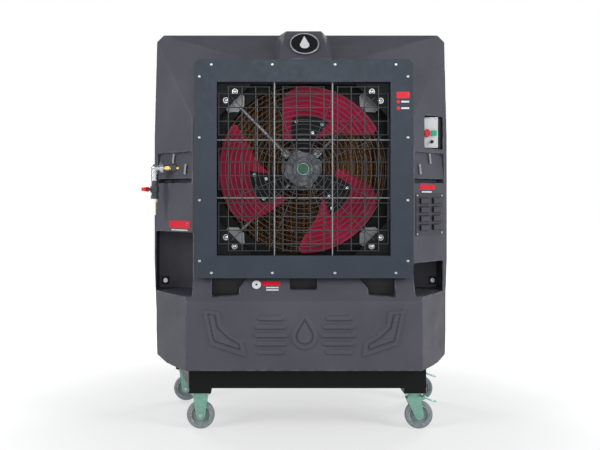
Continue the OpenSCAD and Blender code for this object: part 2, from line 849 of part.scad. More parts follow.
// A folded cover with two columns of louvres that open to the side.
module louvre_cover() {
  half = 136;
  color([0.36, 0.36, 0.38]) on_facet(1) translate([cover_x, -0.4, 0]) difference() {
    union() {
      block([-half, -3.6, 1040], [half, 0, 1264]);
      for (x = [-104, 22], row = [0:3])
        translate([x, -3, 1064 + 48 * row]) yz(0, 88)
          polygon([[1, 0], [-13, 4], [-13, 30], [1, 38]]);
    }
    for (x = [-104, 22], row = [0:3])
      translate([x, 0, 1064 + 48 * row]) block([-1, -13, 8], [84, 1, 29]);
    for (x = [-124, 124], z = [1049, 1255])
      translate([x, 5, z]) rotate([90, 0, 0]) cylinder(h = 20, r = 3.3);
  }
}

module badge() {
  slope = hump_brow - hump_foot;
  middle = (hump_brow + hump_foot) / 2;
  tilt = atan2(slope[0], slope[1]);
  color([0.1, 0.1, 0.11]) translate([8, middle[0], middle[1]]) rotate([90 - tilt, 0, 0])
    translate([0, 0, 0.6]) {
      cylinder(h = 8, r = 78);
      translate([0, 0, 8]) cylinder(h = 3, r = 68);
    }
}

module grip_bars() {
  color([0.8, 0.8, 0.78]) for (side = [-1, 1]) on_facet(side) {
    grip_bar(8, 1455);
    grip_bar(-104, 1394);
  }
}

// A short vertical steel strap on the sloping face of a grip recess.
module grip_bar(x, z) {
  translate([x, grip_depth(z) - 0.3, z]) rotate([-atan(grip_slope), 0, 0]) {
    translate([-6.5, -13, -28]) cube([13, 5, 56]);
    for (end = [-1, 1]) translate([-6.5, -10, end * 23 - 5]) cube([13, 10, 10]);
  }
}

module cable_gland() {
  color([0.12, 0.12, 0.13]) difference() {
    union() {
      rod_x(150, 620, 10, 788, 832);
      translate([811.2, 150, 620]) rotate([0, 90, 0]) hex(9, 27);
      translate([819, 150, 620]) rotate([0, 90, 0]) hex(10, 24);
      translate([794, 150, 620]) rotate([0, 90, 0]) hex(8, 27);
    }
    rod_x(150, 620, 6, 780, 840);
  }
}

// ---------------------------------------------------------------- castors

function castor_spot(side, rear) =
  let (spot = rear ? rear_castor : front_castor) [base_x + side * spot[0], spot[1], 0];

module castor_plate() {
  difference() {
    block([-55, -45, castor_h - 5], [55, 45, castor_h - 0.2]);
    for (dx = [-1, 1], dy = [-1, 1])
      translate([40 * dx, 32 * dy, castor_h - 8]) cylinder(h = 12, r = 5.3);
  }
}

// Two cheeks of a fork, with the axle dx from the fork's middle.
module fork_cheeks(dx, top, hole_r) {
  inner = wheel_w / 2 + 3;
  for (side = [-1, 1]) difference() {
    union() {
      translate([0, side * (inner + 2) + 2, 0]) rotate([90, 0, 0]) linear_extrude(4) union() {
        polygon([
          [-28, top], [28, top], [40, top - 9], [dx + 24, wheel_r - 4], [dx - 24, wheel_r - 4],
          [-40, top - 9],
        ]);
        translate([dx, wheel_r]) circle(24);
      }
    }
    rod_y(dx, wheel_r, hole_r, -60, 60);
  }
}

module rigid_forks() {
  color([0.72, 0.78, 0.74]) for (rear = [false, true]) translate(castor_spot(-1, rear)) {
    castor_plate();
    block([-28, -26, castor_h - 10], [28, 26, castor_h - 4.9]);
    fork_cheeks(0, castor_h - 9, axle_r + run_gap);
  }
}

module axle() {
  half = wheel_w / 2 + 10;
  rod_y(0, wheel_r, axle_r, -half, half);
  translate([0, -half + 2.7, wheel_r]) rotate([90, 0, 0]) hex(7, 18);
  translate([0, half + 4.3, wheel_r]) rotate([90, 0, 0]) hex(7, 18);
}

module rigid_axles() {
  color([0.7, 0.7, 0.7]) for (rear = [false, true]) translate(castor_spot(-1, rear)) axle();
}

module swivel_plates() {
  color([0.75, 0.8, 0.77]) for (rear = [false, true]) translate(castor_spot(1, rear)) {
    castor_plate();
    difference() {
      translate([0, 0, castor_h - 19]) cylinder(h = 15, r = 34);
      translate([0, 0, castor_h - 20]) cylinder(h = 12, r = 8 + run_gap);
    }
  }
}

module castor_bolts() {
  color([0.78, 0.78, 0.78]) for (side = [-1, 1], rear = [false, true])
    translate(castor_spot(side, rear)) for (dx = [-1, 1], dy = [-1, 1])
      translate([40 * dx, 32 * dy, castor_h - 12]) {
        hex(6.7, 16);
        translate([0, 0, 4]) cylinder(h = 28, r = 5);
      }
}

module swivel_fork(rear) {
  color([0.72, 0.78, 0.74]) translate(castor_spot(1, rear)) {
    translate([0, 0, castor_h - 26]) cylinder(h = 6.4, r = 36);
    translate([0, 0, castor_h - 22]) cylinder(h = 12, r = 8);
    block([-28, -26, castor_h - 30], [44, 26, castor_h - 25.5]);
    fork_cheeks(trail, castor_h - 26, axle_r);
    rod_y(trail, wheel_r, axle_r, -wheel_w / 2 - 10, wheel_w / 2 + 10);
    for (side = [-1, 1]) translate([0, side * 24 + 2, 0]) rotate([90, 0, 0])
      linear_extrude(4) polygon([
        [38, castor_h - 28], [38, castor_h - 44], [56, castor_h - 42], [66, castor_h - 30],
        [58, castor_h - 26],
      ]);
    rod_y(55, castor_h - 34, 4, -25, 25);
  }
}

module swivel_fork_front() { swivel_fork(false); }
module swivel_fork_rear() { swivel_fork(true); }

module brake_pedal(rear) {
  color([0.8, 0.82, 0.82]) translate(castor_spot(1, rear)) difference() {
    union() {
      rod_y(55, castor_h - 34, 7, -21, 21);
      translate([0, 21, 0]) rotate([90, 0, 0]) linear_extrude(42) polygon([
        [57, castor_h - 28.5], [62, castor_h - 27.5], [100, castor_h - 47],
        [124, castor_h - 53], [125, castor_h - 56], [99, castor_h - 51], [60, castor_h - 36],
      ]);
    }
    rod_y(55, castor_h - 34, 4 + run_gap, -60, 60);
  }
}

module brake_pedal_front() { brake_pedal(false); }
module brake_pedal_rear() { brake_pedal(true); }

module wheel(side, rear) {
  spot = castor_spot(side, rear);
  half = wheel_w / 2;
  color([0.5, 0.52, 0.55])
    translate([spot[0] + (side > 0 ? trail : 0), spot[1], wheel_r]) rotate([90, 0, 0])
      rotate_extrude($fn = 96) polygon([
        [axle_r + run_gap, -half - 2], [17, -half - 2], [20, -half + 5], [50, -half + 5],
        [54, -half], [wheel_r - 6, -half], [wheel_r, -half + 8], [wheel_r, half - 8],
        [wheel_r - 6, half], [54, half], [50, half - 5], [20, half - 5], [17, half + 2],
        [axle_r + run_gap, half + 2],
      ]);
}

module wheel_front_left() { wheel(-1, false); }
module wheel_rear_left() { wheel(-1, true); }
module wheel_front_right() { wheel(1, false); }
module wheel_rear_right() { wheel(1, true); }

housing();
base_frame();
outlet_frame();
panel_screws();
front_grille();
fan_guard();
corner_plates();
corner_bolts();
fan_panel();
strut_feet();
motor_struts();
motor_mount();
motor();
pad_rack();
pad_left();
pad_centre();
pad_right();
pad_guard();
distribution_pipe();
riser_pipe();
pump();
fill_pipe();
float_valve();
inlet_fitting();
inlet_elbow();
ball_valve();
hose_tail();
drain_cap();
pocket_plates();
pocket_bolts();
control_box();
control_plate();
louvre_cover();
badge();
grip_bars();
cable_gland();
rigid_forks();
rigid_axles();
swivel_plates();
castor_bolts();
rotor_hub();
hub_cap();
fan_blades();
blade_plates();
blade_bolts();
motor_shaft();
valve_handle();
stop_button();
start_button();
pump_switch();
float_arm();
swivel_fork_front();
swivel_fork_rear();
brake_pedal_front();
brake_pedal_rear();
wheel_front_left();
wheel_rear_left();
wheel_front_right();
wheel_rear_right();
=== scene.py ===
import json
import math

import bmesh
import bpy
import numpy as np
from mathutils import Matrix, Vector


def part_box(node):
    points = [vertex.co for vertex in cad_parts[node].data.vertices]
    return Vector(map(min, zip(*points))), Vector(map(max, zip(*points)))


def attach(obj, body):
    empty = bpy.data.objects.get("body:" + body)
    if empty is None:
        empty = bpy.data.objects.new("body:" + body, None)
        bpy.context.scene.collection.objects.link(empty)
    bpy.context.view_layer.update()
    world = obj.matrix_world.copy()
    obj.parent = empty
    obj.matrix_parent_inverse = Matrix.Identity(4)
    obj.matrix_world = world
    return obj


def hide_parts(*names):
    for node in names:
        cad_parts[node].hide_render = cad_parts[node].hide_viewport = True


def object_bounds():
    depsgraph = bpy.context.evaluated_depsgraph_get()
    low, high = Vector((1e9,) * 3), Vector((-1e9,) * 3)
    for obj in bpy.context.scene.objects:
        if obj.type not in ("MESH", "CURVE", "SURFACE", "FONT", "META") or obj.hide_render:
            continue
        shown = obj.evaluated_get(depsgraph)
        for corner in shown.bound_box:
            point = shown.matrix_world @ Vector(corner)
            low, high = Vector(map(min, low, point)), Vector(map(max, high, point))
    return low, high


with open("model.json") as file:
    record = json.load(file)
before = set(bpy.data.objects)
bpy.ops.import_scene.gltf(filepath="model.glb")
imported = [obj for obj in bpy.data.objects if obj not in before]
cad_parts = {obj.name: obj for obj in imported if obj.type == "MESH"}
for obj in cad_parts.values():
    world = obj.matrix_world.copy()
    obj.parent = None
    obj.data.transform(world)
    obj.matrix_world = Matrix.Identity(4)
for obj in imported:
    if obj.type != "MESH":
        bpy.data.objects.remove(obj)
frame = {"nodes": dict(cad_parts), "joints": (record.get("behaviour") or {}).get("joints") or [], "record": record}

CAD_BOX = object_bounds()
NODES = frame["nodes"]
JOINTS = {j["name"]: j for j in frame["joints"]}
MM = 0.001

# ---------------------------------------------------------------- camera

CAMERA_PLACE = (-0.25, -4.6, 1.257)
MATT = 0.22              # specular level of surfaces that set none of their own


def make_camera():
    data = bpy.data.cameras.new("camera")
    data.lens = 48
    data.sensor_width = 36
    data.shift_x = 0.0732
    data.shift_y = -0.05
    camera = bpy.data.objects.new("camera", data)
    camera.location = CAMERA_PLACE
    camera.rotation_euler = (math.radians(90), 0, 0)
    bpy.context.scene.collection.objects.link(camera)
    bpy.context.scene.camera = camera


make_camera()
bpy.context.scene.view_settings.view_transform = "Standard"

# ---------------------------------------------------------------- materials


class Shader:
    """A node material with helpers for the parts that the materials here share."""

    def __init__(self, name, color, rough, metal=0.0, **sockets):
        self.mat = bpy.data.materials.new(name)
        self.mat.use_nodes = True
        self.tree = self.mat.node_tree
        self.bsdf = self.tree.nodes["Principled BSDF"]
        self.bsdf.inputs["Base Color"].default_value = (*color, 1)
        self.bsdf.inputs["Roughness"].default_value = rough
        self.bsdf.inputs["Metallic"].default_value = metal
        self.bsdf.inputs["Specular IOR Level"].default_value = MATT
        for key, value in sockets.items():
            self.bsdf.inputs[key.replace("_", " ")].default_value = value
        self.color = color
        self.coords = self.node("ShaderNodeTexCoord").outputs["Object"]
        self.height = None

    def node(self, kind, **values):
        n = self.tree.nodes.new(kind)
        for key, value in values.items():
            setattr(n, key, value)
        return n

    def link(self, a, b):
        self.tree.links.new(a, b)

    def mapped(self, scale):
        n = self.node("ShaderNodeMapping")
        n.inputs["Scale"].default_value = scale
        self.link(self.coords, n.inputs["Vector"])
        return n.outputs["Vector"]

    def noise(self, scale, detail=3.0, stretch=(1, 1, 1), rough=0.55):
        n = self.node("ShaderNodeTexNoise")
        n.inputs["Scale"].default_value = scale
        n.inputs["Detail"].default_value = detail
        n.inputs["Roughness"].default_value = rough
        self.link(self.mapped(stretch), n.inputs["Vector"])
        return n.outputs["Fac"]

    def ramp(self, source, low, high, a=(0, 0, 0), b=(1, 1, 1)):
        n = self.node("ShaderNodeValToRGB")
        n.color_ramp.elements[0].position = low
        n.color_ramp.elements[1].position = high
        n.color_ramp.elements[0].color = (*a, 1)
        n.color_ramp.elements[1].color = (*b, 1)
        self.link(source, n.inputs["Fac"])
        return n.outputs["Color"]

    def mix(self, factor, a, b):
        n = self.node("ShaderNodeMix", data_type="RGBA")
        self.link(factor, n.inputs["Factor"])
        for side, socket in ((a, n.inputs["A"]), (b, n.inputs["B"])):
            if isinstance(side, tuple):
                socket.default_value = (*side, 1)
            else:
                self.link(side, socket)
        return n.outputs["Result"]

    def tint(self, amount, scale=6.0, stretch=(1, 1, 1), detail=4.0):
        """Varies the base colour, lighter and darker by amount."""
        fac = self.ramp(self.noise(scale, detail, stretch), 0.3, 0.7)
        low = tuple(c * (1 - amount) for c in self.color)
        high = tuple(min(1, c * (1 + amount)) for c in self.color)
        self.base = self.mix(fac, low, high)
        self.link(self.base, self.bsdf.inputs["Base Color"])
        return self

    def wear_and_highlight(self, color, start=0.53, end=0.6, amount_scale=60):
        """Shows another colour along sharp outer edges, broken up by noise: worn edges, and on the housing a
        painted highlight along its rounded edges.
        """
        edge = self.ramp(self.node("ShaderNodeNewGeometry").outputs["Pointiness"], start, end)
        patchy = self.ramp(self.noise(amount_scale, 2.0), 0.45, 0.6)
        n = self.node("ShaderNodeMath", operation="MULTIPLY")
        self.link(edge, n.inputs[0])
        self.link(patchy, n.inputs[1])
        self.base = self.mix(n.outputs[0], self.base, color)
        self.link(self.base, self.bsdf.inputs["Base Color"])
        return self

    def patina(self, low, high, scale=25.0, stretch=(1, 1, 1)):
        """Lets the roughness wander between two values."""
        n = self.node("ShaderNodeMapRange")
        n.inputs["From Min"].default_value = 0.3
        n.inputs["From Max"].default_value = 0.7
        n.inputs["To Min"].default_value = low
        n.inputs["To Max"].default_value = high
        self.link(self.noise(scale, 3.0, stretch), n.inputs["Value"])
        self.link(n.outputs["Result"], self.bsdf.inputs["Roughness"])
        return self

    def relief(self, source, distance, strength=1.0):
        n = self.node("ShaderNodeBump")
        n.inputs["Strength"].default_value = strength
        n.inputs["Distance"].default_value = distance
        self.link(source, n.inputs["Height"])
        if self.height is not None:
            self.link(self.height, n.inputs["Normal"])
        self.height = n.outputs["Normal"]
        self.link(self.height, self.bsdf.inputs["Normal"])
        return self

    def grain(self, scale, distance, stretch=(1, 1, 1), detail=2.0):
        return self.relief(self.noise(scale, detail, stretch), distance)


def moulded(name, color, rough=0.5, grain=900, depth=0.00025, **more):
    """Moulded plastic: slight mottling and a fine pebbled skin."""
    s = Shader(name, color, rough, **more)
    return s.tint(0.12, 5.0).patina(rough - 0.07, rough + 0.09, 14).grain(grain, depth)


def painted(name, color, rough=0.4, chip=(0.30, 0.30, 0.31), **more):
    """Powder coat: orange peel, uneven gloss and a few pale scuffs."""
    s = Shader(name, color, rough, **more)
    s.tint(0.08, 9.0)
    scuffs = s.ramp(s.noise(38, 6.0, rough=0.7), 0.66, 0.74)
    s.base = s.mix(scuffs, s.base, tuple(0.75 * a + 0.25 * b for a, b in zip(color, chip)))
    s.link(s.base, s.bsdf.inputs["Base Color"])
    return s.patina(rough - 0.08, rough + 0.1, 30).grain(420, 0.00012)


def plated(name, color, rough=0.3, stretch=(1, 1, 12), metal=1.0):
    """Zinc or steel with faint drawn streaks and blotches."""
    s = Shader(name, color, rough, metal)
    s.tint(0.18, 40.0, stretch).patina(rough - 0.1, rough + 0.14, 60, stretch)
    return s.grain(700, 0.00004, stretch)


def housing_skin():
    s = Shader("rotomoulded_polyethylene", (0.050, 0.049, 0.062), 0.5)
    s.tint(0.13, 3.0, detail=6.0)
    # paler rounded edges: a painted highlight standing in for light along the housing's edges
    s.wear_and_highlight((0.110, 0.110, 0.130), 0.512, 0.55, 25)
    s.patina(0.42, 0.6, 7)
    s.grain(16, 0.0012, detail=1.0)
    return s.grain(1100, 0.0003)


def relief_skin():
    s = Shader("raised_polyethylene", (0.052, 0.051, 0.064), 0.5)
    return s.tint(0.10, 3.0).patina(0.40, 0.56, 7).grain(1100, 0.0003)


def cellulose_skin():
    """Resin-treated paper: even orange streaks down the flutes, broken by darker wet ones."""
    s = Shader("corrugated_cellulose", (0.34, 0.165, 0.06), 0.85)
    bands = s.node("ShaderNodeTexWave", bands_direction="X")
    bands.inputs["Scale"].default_value = 12.5
    bands.inputs["Distortion"].default_value = 1.6
    bands.inputs["Detail Scale"].default_value = 2.0
    s.link(s.mapped((1, 1, 0.12)), bands.inputs["Vector"])
    stripe = s.ramp(bands.outputs["Fac"], 0.25, 0.8)
    wet = s.ramp(s.noise(30, 4.0, (1, 1, 0.05)), 0.42, 0.58)
    fleck = s.ramp(s.noise(240, 3.0, (1, 1, 0.4)), 0.35, 0.7)
    even = s.mix(stripe, (0.10, 0.042, 0.018), (0.46, 0.21, 0.075))
    damp = s.mix(stripe, (0.055, 0.024, 0.012), (0.25, 0.105, 0.035))
    streaked = s.mix(wet, damp, even)
    s.link(s.mix(fleck, streaked, s.mix(wet, streaked, (0.46, 0.23, 0.08))),
           s.bsdf.inputs["Base Color"])
    return s.grain(500, 0.0004)


def blade_skin():
    s = Shader("crimson_nylon", (0.205, 0.002, 0.025), 0.36, Specular_IOR_Level=0.12)
    s.tint(0.2, 4.0, (1, 1, 1), 5.0)
    s.wear_and_highlight((0.36, 0.03, 0.06), 0.52, 0.58, 90)
    return s.patina(0.26, 0.46, 22).grain(600, 0.00012)


def cast_skin():
    s = Shader("cast_aluminium", (0.10, 0.107, 0.118), 0.38, 0.85)
    return s.tint(0.35, 45).patina(0.35, 0.6, 50).grain(350, 0.0005, detail=4.0)


def tread_skin():
    s = Shader("grey_tread_rubber", (0.155, 0.185, 0.19), 0.62)
    s.tint(0.14, 24)
    s.wear_and_highlight((0.34, 0.35, 0.36), 0.53, 0.6, 80)
    return s.patina(0.52, 0.74, 40).grain(800, 0.0003)


SKINS = {
    "moulded_pe": housing_skin(),
    "moulded_relief": relief_skin(),
    "grille_bar": plated("bare_grille_bar", (0.17, 0.18, 0.185), 0.4, metal=0.6),
    "black_steel": painted("black_paint", (0.004, 0.005, 0.005), 0.4, (0.04, 0.04, 0.04),
                           Specular_IOR_Level=0.12),
    "blue_grey_steel": painted("blue_grey_powder_coat", (0.022, 0.029, 0.041), 0.36, (0.09, 0.10, 0.12)),
    "zinc_fastener": plated("bright_zinc", (0.46, 0.48, 0.49), 0.3, (1, 1, 1)),
    "wire_grey": painted("grey_wire_coat", (0.032, 0.036, 0.040), 0.35, (0.12, 0.12, 0.12)),
    "wire_dark": painted("guard_wire_coat", (0.050, 0.050, 0.054), 0.4, (0.2, 0.2, 0.2)),
    "galvanised": plated("galvanised_steel", (0.29, 0.30, 0.31), 0.45, metal=0.6),
    "cast_alloy": cast_skin(),
    "motor_grey": painted("motor_enamel", (0.05, 0.056, 0.062), 0.4),
    "cellulose": cellulose_skin(),
    "white_pipe": moulded("white_pvc", (0.78, 0.79, 0.80), 0.35, 300, 0.00005),
    "pump_plastic": moulded("pump_shell", (0.02, 0.03, 0.07), 0.4),
    "brass": plated("turned_brass", (0.78, 0.56, 0.22), 0.3, (12, 1, 1)),
    "chromed": plated("plated_fitting", (0.42, 0.44, 0.46), 0.22, (1, 1, 1)),
    "hose_pale": moulded("pale_hose", (0.76, 0.72, 0.62), 0.5, 300, 0.0001),
    "white_plastic": moulded("white_abs", (0.47, 0.49, 0.50), 0.35, 500, 0.00006),
    "black_rubber": moulded("black_rubber", (0.010, 0.010, 0.010), 0.6),
    "dark_plastic": moulded("dark_abs", (0.022, 0.022, 0.025), 0.4),
    "painted_cover": painted("cover_paint", (0.037, 0.036, 0.045), 0.42, (0.12, 0.12, 0.13)),
    "badge_black": moulded("black_badge", (0.004, 0.004, 0.005), 0.22, 300, 0.00003),
    "zinc_plated": plated("passivated_zinc", (0.19, 0.37, 0.30), 0.34, metal=0.8),
    "green_plastic": moulded("green_cap", (0.008, 0.070, 0.036), 0.3, 300, 0.00005),
    "crimson_blade": blade_skin(),
    "red_paint": painted("red_handle_paint", (0.52, 0.012, 0.016), 0.3, (0.6, 0.2, 0.2)),
    "red_plastic": moulded("red_button", (0.48, 0.009, 0.020), 0.28, 300, 0.00003),
    "green_button": moulded("green_button", (0.008, 0.32, 0.15), 0.25, 300, 0.00003),
    "orange_float": moulded("orange_float", (0.70, 0.16, 0.02), 0.45),
    "grey_wheel": tread_skin(),
}

# ---------------------------------------------------------------- CAD nodes

BEVELS = {   # width of the rounded edges, in millimetres
    "base_frame": 2.0, "outlet_frame": 0.9, "corner_plates": 0.5, "fan_panel": 0.8,
    "strut_feet": 1.0, "motor_struts": 0.8, "motor_mount": 1.0, "motor": 1.2,
    "pocket_plates": 1.0, "control_box": 1.0, "control_plate": 0.7, "louvre_cover": 0.8,
    "badge": 1.2, "grip_bars": 1.0, "rigid_forks": 0.7, "swivel_plates": 0.7,
    "swivel_fork_front": 0.7, "swivel_fork_rear": 0.7, "brake_pedal_front": 0.8,
    "brake_pedal_rear": 0.8, "castor_bolts": 0.6, "rigid_axles": 0.6, "pocket_bolts": 0.6,
    "panel_screws": 0.4, "rotor_hub": 2.0, "hub_cap": 1.5, "blade_plates": 1.2,
    "blade_bolts": 0.7, "valve_handle": 1.5, "stop_button": 1.5, "start_button": 1.5,
    "pump_switch": 0.8, "inlet_fitting": 0.8, "inlet_elbow": 1.0, "ball_valve": 0.9,
    "hose_tail": 0.8, "drain_cap": 1.2, "cable_gland": 0.8, "pump": 3.0, "float_valve": 0.6,
    "pad_rack": 0.8, "pad_guard": 0.4,
}
SLOTS = {s["node"]: s["material_slot"] for s in frame["record"]["subparts"]}


def round_edges(obj, width, segments=2):
    weld = obj.modifiers.new("weld", "WELD")
    weld.merge_threshold = 2e-5
    flat = obj.modifiers.new("flat", "DECIMATE")
    flat.decimate_type = "DISSOLVE"
    flat.angle_limit = math.radians(0.6)
    bevel = obj.modifiers.new("bevel", "BEVEL")
    bevel.width = width * MM
    bevel.segments = segments
    bevel.limit_method = "ANGLE"
    bevel.angle_limit = math.radians(32)
    bevel.use_clamp_overlap = True
    bevel.harden_normals = True
    normals = obj.modifiers.new("normals", "WEIGHTED_NORMAL")
    normals.keep_sharp = True


def dress(obj, slot_name):
    obj.data.materials.clear()
    obj.data.materials.append(SKINS[slot_name].mat)


for name, node in NODES.items():
    dress(node, SLOTS[name])
    for polygon in node.data.polygons:
        polygon.use_smooth = True
    if name in BEVELS:
        round_edges(node, BEVELS[name])

HEAVY_BAR = 0.153        # distance of the heavier wires from the fan's axis
HEAVY_REACH = 0.0045     # anything nearer than this to one belongs to it


def pale_heavy_bars():
    """The grille's four heavier wires are bare zinc between the grey thin ones."""
    grille = NODES["front_grille"]
    grille.data.materials.append(SKINS["grille_bar"].mat)
    middle = JOINTS["fan_spin"]["pos_m"][2]
    co = grille.data.vertices
    for polygon in grille.data.polygons:
        xs = [abs(abs(co[v].co.x) - HEAVY_BAR) for v in polygon.vertices]
        zs = [abs(abs(co[v].co.z - middle) - HEAVY_BAR) for v in polygon.vertices]
        if max(xs) < HEAVY_REACH or max(zs) < HEAVY_REACH:
            polygon.material_index = 1


pale_heavy_bars()

# ---------------------------------------------------------------- new pieces


def place(name, bm, slot_name, body, replaced=(), smooth=True):
    """Makes a piece from a bmesh in the row frame, in metres."""
    mesh = bpy.data.meshes.new(name)
    bm.normal_update()
    bm.to_mesh(mesh)
    bm.free()
    obj = bpy.data.objects.new(name, mesh)
    bpy.context.scene.collection.objects.link(obj)
    for polygon in mesh.polygons:
        polygon.use_smooth = smooth
    dress(obj, slot_name)
    if replaced:
        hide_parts(*replaced)
    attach(obj, body)
    return obj


def apply_modifiers(obj):
    """Freezes a piece's modifiers into its mesh."""
    graph = bpy.context.evaluated_depsgraph_get()
    mesh = bpy.data.meshes.new_from_object(obj.evaluated_get(graph))
    obj.modifiers.clear()
    obj.data = mesh


def box_into(bm, low, high):
    made = bmesh.ops.create_cube(bm, size=1.0)["verts"]
    middle = (Vector(low) + Vector(high)) / 2
    size = Vector(high) - Vector(low)
    for v in made:
        v.co = Vector((v.co[i] * size[i] + middle[i] for i in range(3)))
    return made


FACET_TURN = math.atan2(0.240, 0.230)
FACET_MIDDLE = Vector((0.705, -0.235, 0))
COVER_SHIFT = -0.018      # middle of the louvre cover, along the facet
COVER_MIDDLE = 1.152      # and its height


def facet_frame(side, x, z, out=0.0005):
    """The plane of a side facet; x runs away from the outlet."""
    turn = Matrix.Rotation(side * FACET_TURN, 4, "Z")
    middle = Matrix.Translation((side * FACET_MIDDLE.x, FACET_MIDDLE.y, z))
    return middle @ turn @ Matrix.Translation((side * x, -out, 0))


# ---- housing: the CAD moulding with its openings plugged, rounded, and opened again

VOXEL = 0.0045
SOFTEN = 2
MAX_TRIANGLES = 170000
FAN_HOLE = 0.465         # half width of the hole behind the fan panel
FAN_HOLE_Z = 1.395
REAR_OPENING = ((-0.745, 0.014, 0.505), (0.745, 2.012))   # low corner; high x and z


def make_housing():
    source = NODES["housing"]
    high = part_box("housing")[1]
    bm = bmesh.new()
    bm.from_mesh(source.data)
    panel_low, panel_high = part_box("fan_panel")
    side = panel_high.x - 0.002
    box_into(bm, (-side, -0.225, panel_low.z + 0.002), (side, -0.185, panel_high.z - 0.002))
    box_into(bm, (-0.752, high.y - 0.060, 0.498), (0.752, high.y, 2.019))
    for node in ("inlet_fitting", "cable_gland", "drain_cap"):
        a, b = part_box(node)
        middle = (a + b) / 2
        if node == "inlet_fitting":
            middle.x = -0.700
        if node == "drain_cap":
            middle += Vector((0, 0.012, -0.008))
        reach = Vector((0.016, 0.016, 0.016))
        box_into(bm, middle - reach, middle + reach)
    plug = box_into(bm, (-0.114, 0.000, -0.093), (0.114, 0.008, 0.093))
    for v in plug:
        v.co = facet_frame(1, COVER_SHIFT, COVER_MIDDLE, 0) @ v.co
    shell = place("moulded_housing", bm, "moulded_pe", "cabinet", ("housing",))
    remesh = shell.modifiers.new("remesh", "REMESH")
    remesh.mode = "VOXEL"
    remesh.voxel_size = VOXEL
    remesh.use_smooth_shade = True
    soften = shell.modifiers.new("soften", "SMOOTH")
    soften.factor = 0.5
    soften.iterations = SOFTEN
    apply_modifiers(shell)

    cut = bmesh.new()
    rear_low, (rear_x, rear_z) = REAR_OPENING
    box_into(cut, rear_low, (rear_x, high.y + 0.05, rear_z))
    inner = place("cavity", cut, "moulded_pe", "cabinet")
    opened = shell.modifiers.new("open", "BOOLEAN")
    opened.operation = "DIFFERENCE"
    opened.solver = "MANIFOLD"
    opened.object = inner
    apply_modifiers(shell)
    cut = bmesh.new()
    box_into(cut, (-FAN_HOLE, -0.26, FAN_HOLE_Z - FAN_HOLE), (FAN_HOLE, 0.05, FAN_HOLE_Z + FAN_HOLE))
    inner.data.clear_geometry()
    cut.to_mesh(inner.data)
    cut.free()
    opened = shell.modifiers.new("open", "BOOLEAN")
    opened.operation = "DIFFERENCE"
    opened.solver = "MANIFOLD"
    opened.object = inner
    apply_modifiers(shell)
    bpy.data.objects.remove(inner)
    thin = shell.modifiers.new("thin", "DECIMATE")
    thin.ratio = min(1.0, MAX_TRIANGLES / max(1, 2 * len(shell.data.polygons)))
    apply_modifiers(shell)
    for polygon in shell.data.polygons:
        polygon.use_smooth = True
    normals = shell.modifiers.new("normals", "WEIGHTED_NORMAL")
    normals.keep_sharp = True


make_housing()

# ---- fan blades: cambered sheets in place of the flat plates

FAN_Z = JOINTS["fan_spin"]["pos_m"][2]
BLADE_TURN = math.radians(8.5)
BLADE_ROOT, BLADE_TIP = 0.178, 0.452
BLADE_FRONT = 0.286      # height of the blades' plane along the air's direction
LEAD = [(0.178, 34), (0.190, 42), (0.240, 36.5), (0.323, 30), (0.405, 25), (0.438, 18), (0.452, 10)]
TRAIL = [(0.178, -14), (0.233, -28), (0.320, -45), (0.380, -51), (0.432, -54), (0.452, -51)]


def along(table, r):
    return float(np.interp(r, [t[0] for t in table], [t[1] for t in table]))


def blade_point(k, r, t):
    """A point on blade k at radius r, with t going from the trailing to the leading edge."""
    lead, trail = along(LEAD, r), along(TRAIL, r)
    a = math.radians(trail + (lead - trail) * t)
    x, y = r * math.cos(a), r * math.sin(a)
    outer = min(1, max(0, (r - 0.27) / 0.12))
    camber = -0.016 * 4 * t * (1 - t) * outer * outer * (3 - 2 * outer)
    z = 0.0025 + camber
    y, z = y * math.cos(BLADE_TURN) + z * math.sin(BLADE_TURN), \
        z * math.cos(BLADE_TURN) - y * math.sin(BLADE_TURN) + BLADE_FRONT
    turn = math.radians(80 + 120 * k)
    return Vector((x * math.cos(turn) - y * math.sin(turn), -z,
                   x * math.sin(turn) + y * math.cos(turn) + FAN_Z))


def make_blades():
    rings, steps = 22, 30
    bm = bmesh.new()
    for k in range(3):
        rows = []
        for i in range(rings + 1):
            r = BLADE_ROOT + (BLADE_TIP - BLADE_ROOT) * i / rings
            rows.append([bm.verts.new(blade_point(k, r, j / steps)) for j in range(steps + 1)])
        for a, b in zip(rows, rows[1:]):
            for j in range(steps):
                bm.faces.new((a[j], a[j + 1], b[j + 1], b[j]))
    blades = place("cambered_blades", bm, "crimson_blade", "fan", ("fan_blades",))
    thick = blades.modifiers.new("thick", "SOLIDIFY")
    thick.thickness = 0.0052
    thick.offset = 0
    edge = blades.modifiers.new("edge", "BEVEL")
    edge.width = 0.0018
    edge.segments = 2
    edge.angle_limit = math.radians(50)


make_blades()

# ---- cooling pads: fluted paper blocks


def make_pad(node):
    low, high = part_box(node)
    flute = 0.011
    columns = int((high.x - low.x) / flute * 2)
    rows = 110
    bm = bmesh.new()
    for y, inward in ((low.y, 1), (high.y, -1)):
        grid = []
        for j in range(rows + 1):
            line = []
            for i in range(columns + 1):
                x = low.x + (high.x - low.x) * i / columns
                z = low.z + (high.z - low.z) * j / rows
                rim = i in (0, columns) or j in (0, rows)
                ripple = 0.0022 * (1 + math.sin(z * 210 + (i % 4) * 1.57))
                wave = 0 if rim else (0.0045 if i % 2 else 0.0) + ripple
                line.append(bm.verts.new((x, y + inward * wave, z)))
            grid.append(line)
        for a, b in zip(grid, grid[1:]):
            for i in range(columns):
                quad = (a[i], a[i + 1], b[i + 1], b[i])
                bm.faces.new(quad if inward > 0 else quad[::-1])
    edges = [e for e in bm.edges if e.is_boundary]
    bmesh.ops.bridge_loops(bm, edges=edges)
    return place(node + "_flutes", bm, "cellulose", "cabinet", (node,), smooth=False)


for node in ("pad_left", "pad_centre", "pad_right"):
    make_pad(node)

# ---- castor wheels: a crowned tread on a dished core


